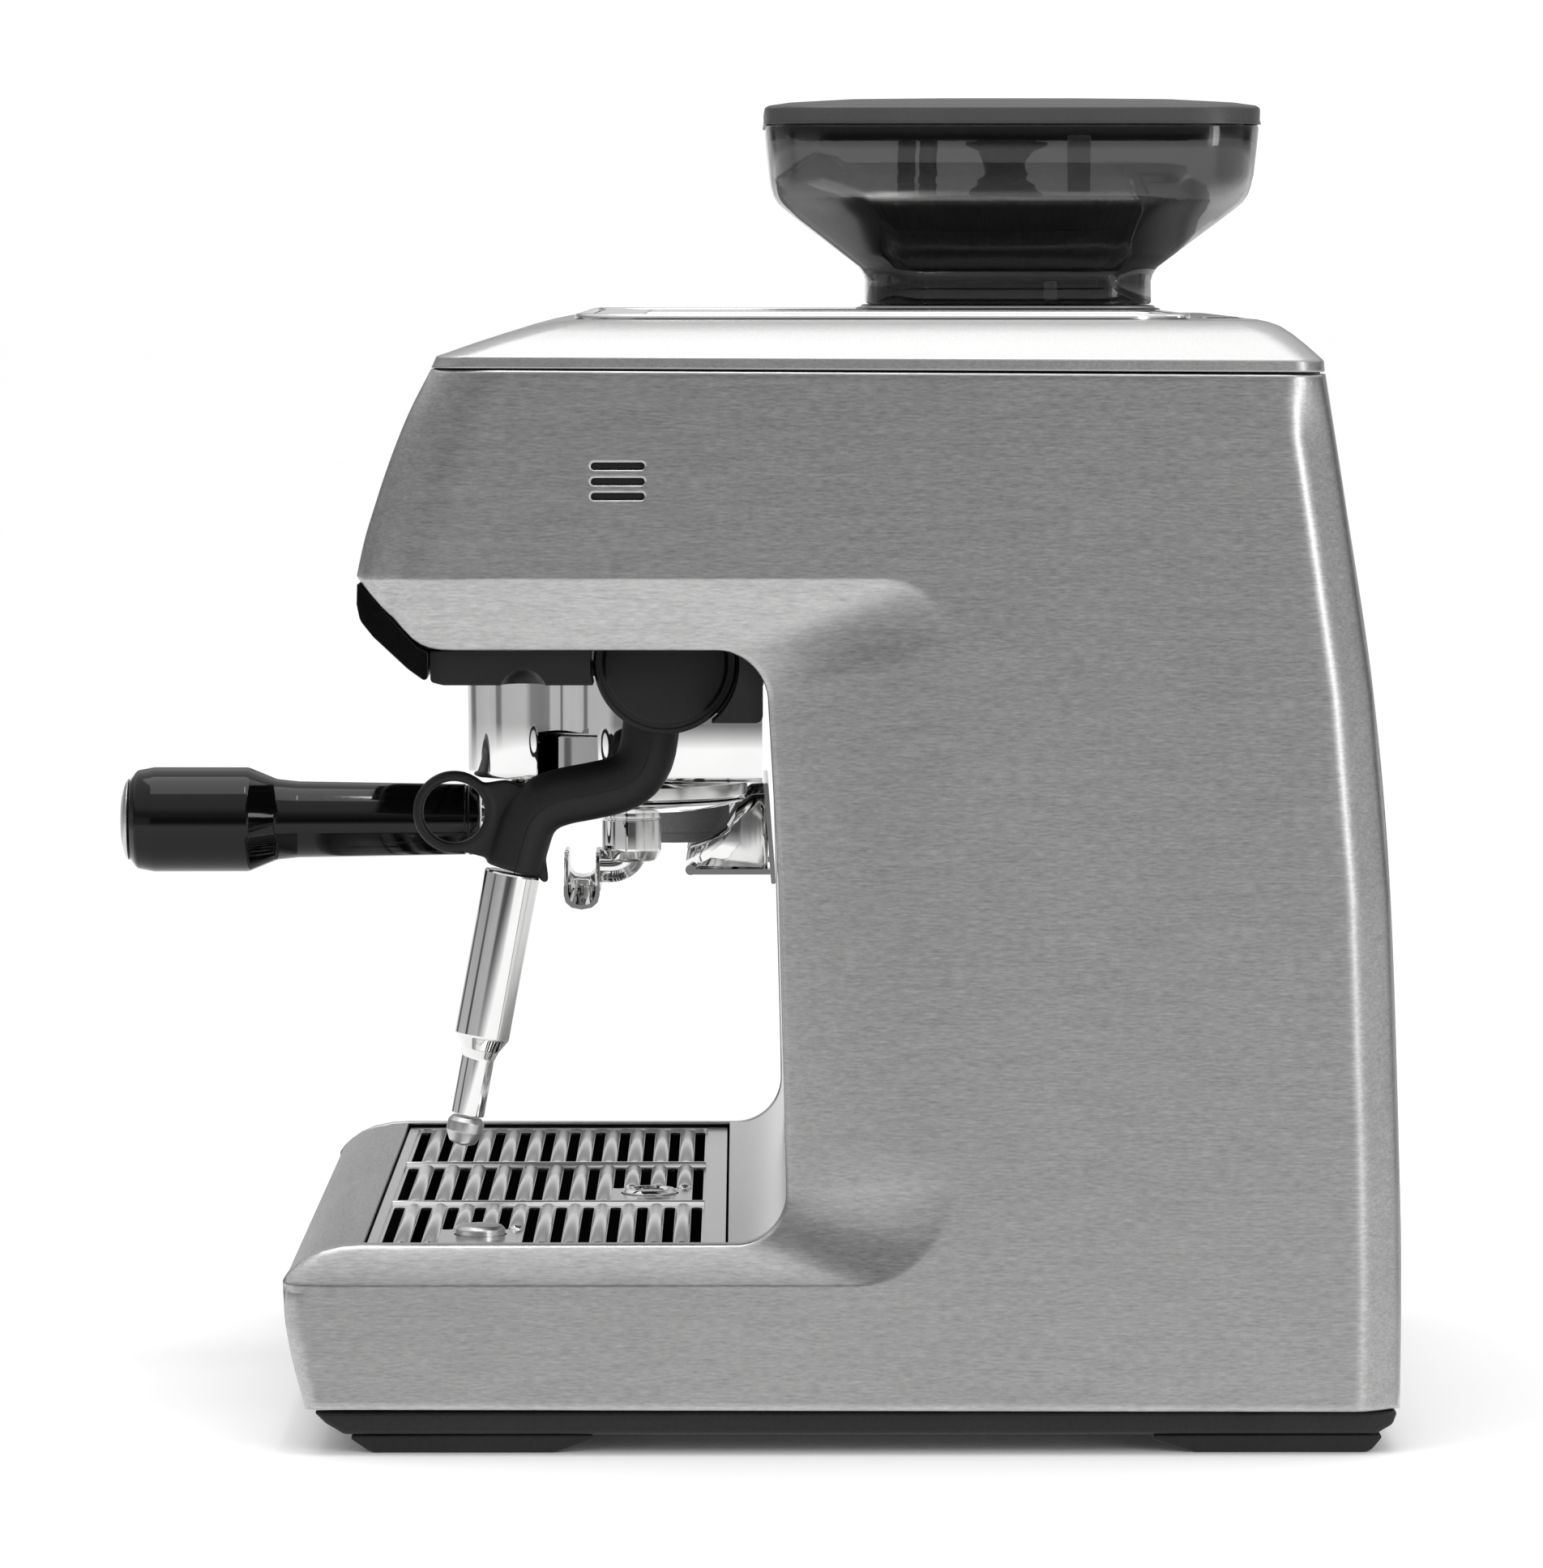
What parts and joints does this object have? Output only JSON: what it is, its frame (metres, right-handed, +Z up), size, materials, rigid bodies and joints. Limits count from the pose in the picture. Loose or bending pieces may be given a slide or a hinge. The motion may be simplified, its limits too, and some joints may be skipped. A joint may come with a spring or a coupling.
{
  "type": "espresso machine",
  "caption": "Counter-top espresso machine with a C-shaped steel housing, bean hopper and grinder, group head with portafilter, steam arm, slatted drip tray and rear water tank.",
  "frame": {"origin": "centre of the overall box, on the plane of the feet", "axes": "+Z up, -Y the user's side with the portafilter handle, +X the user's right with the steam arm"},
  "size_m": [0.392, 0.4396, 0.4552],
  "materials": {
    "steel": "brushed, fine horizontal grain",
    "chrome": "polished",
    "satin": "fine metallic satin",
    "black": "fine matte texture",
    "gloss": "polished",
    "rubber": "matte",
    "smoke": "smoked translucent plastic, polished",
    "grey": "satin",
    "brass": "machined",
    "cast": "as cast",
    "green": "coated circuit board",
    "plate": "polished sheet",
    "screen": "gloss black cover glass"
  },
  "bodies": {
    "housing": {"back_panel": "steel", "base_tray": "black", "chassis_frame": "cast", "coffee_boiler": "cast", "control_board": "green", "cradle_bracket": "chrome", "cup_rail": "chrome", "cup_warming_tray": "plate", "foot_front_left": "rubber", "foot_front_right": "rubber", "foot_rear_left": "rubber", "foot_rear_right": "rubber", "front_bezel": "gloss", "front_panel": "steel", "grind_chute": "black", "grind_outlet": "grey", "grinder_gearbox": "cast", "grinder_housing": "black", "grinder_motor": "cast", "group_collar": "chrome", "group_gasket": "rubber", "group_head": "brass", "group_shroud": "chrome", "head_underside": "black", "hopper_collar": "satin", "power_inlet": "black", "screen_glass": "screen", "screen_module": "black", "shower_screen": "steel", "side_panel_left": "steel", "side_panel_right": "steel", "solenoid_valve": "cast", "splash_panel": "plate", "steam_boiler": "cast", "tank_bay": "black", "top_cover": "satin", "upper_burr": "steel", "water_pump": "black"},
    "portafilter": {"portafilter_body": "chrome", "portafilter_handle": "gloss", "handle_cap": "steel", "filter_basket": "steel", "portafilter_spout": "chrome"},
    "steam_wand": {"steam_arm": "black", "steam_hub_disc": "black", "steam_tube": "chrome", "steam_tip": "steel"},
    "hopper": {"hopper_body": "smoke"},
    "hopper_cover": {"hopper_lid": "grey"},
    "hopper_lock": {"hopper_lock_knob": "black"},
    "burr": {"lower_burr": "steel"},
    "tray": {"drip_tray": "black", "drip_tray_front": "steel"},
    "grille": {"drip_grille": "plate"},
    "float": {"tray_float": "chrome"},
    "milk_sensor": {"milk_temp_sensor": "steel"},
    "tank": {"water_tank": "smoke"},
    "tank_cover": {"water_tank_lid": "satin"},
    "tank_bail": {"tank_handle": "black"},
    "power_key": {"power_button": "chrome"}
  },
  "joints": [
    {"name": "portafilter_turn", "type": "hinge", "parent": "housing", "child": "portafilter", "pos_m": [0.015, -0.04125, 0.1995], "axis": [0, 0, 1], "range_deg": [-45, 0]},
    {"name": "steam_wand_swing", "type": "hinge", "parent": "housing", "child": "steam_wand", "pos_m": [0.14, -0.02575, 0.2627], "axis": [1, 0, 0], "range_deg": [-18, 10]},
    {"name": "hopper_lift", "type": "slide", "parent": "housing", "child": "hopper", "axis": [0, 0, 1], "range_m": [0, 0.06]},
    {"name": "hopper_lid_lift", "type": "slide", "parent": "hopper", "child": "hopper_cover", "axis": [0, 0, 1], "range_m": [0, 0.08]},
    {"name": "hopper_lock_turn", "type": "hinge", "parent": "hopper", "child": "hopper_lock", "pos_m": [-0.085, 0.09625, 0.4], "axis": [0, 0, 1], "range_deg": [0, 90]},
    {"name": "burr_spin", "type": "hinge", "parent": "housing", "child": "burr", "pos_m": [-0.085, 0.09625, 0.33], "axis": [0, 0, 1], "continuous": true},
    {"name": "drip_tray_slide", "type": "slide", "parent": "housing", "child": "tray", "axis": [0, -1, 0], "range_m": [0, 0.15]},
    {"name": "drip_grille_lift", "type": "slide", "parent": "tray", "child": "grille", "axis": [0, 0, 1], "range_m": [0, 0.012]},
    {"name": "tray_float_rise", "type": "slide", "parent": "tray", "child": "float", "axis": [0, 0, 1], "range_m": [0, 0.006]},
    {"name": "milk_sensor_press", "type": "slide", "parent": "tray", "child": "milk_sensor", "axis": [0, 0, -1], "range_m": [0, 0.002], "stiffness_N_per_m": 400},
    {"name": "water_tank_lift", "type": "slide", "parent": "housing", "child": "tank", "axis": [0, 0, 1], "range_m": [0, 0.29]},
    {"name": "water_tank_lid_hinge", "type": "hinge", "parent": "tank", "child": "tank_cover", "pos_m": [0.092, 0.15465, 0.3766], "axis": [1, 0, 0], "range_deg": [0, 85]},
    {"name": "tank_handle_raise", "type": "hinge", "parent": "tank_cover", "child": "tank_bail", "pos_m": [0.092, 0.15965, 0.3744], "axis": [1, 0, 0], "range_deg": [0, 90]},
    {"name": "power_button_press", "type": "slide", "parent": "housing", "child": "power_key", "axis": [0, 0.9444, -0.3287], "range_m": [0, 0.0015], "stiffness_N_per_m": 400}
  ]
}
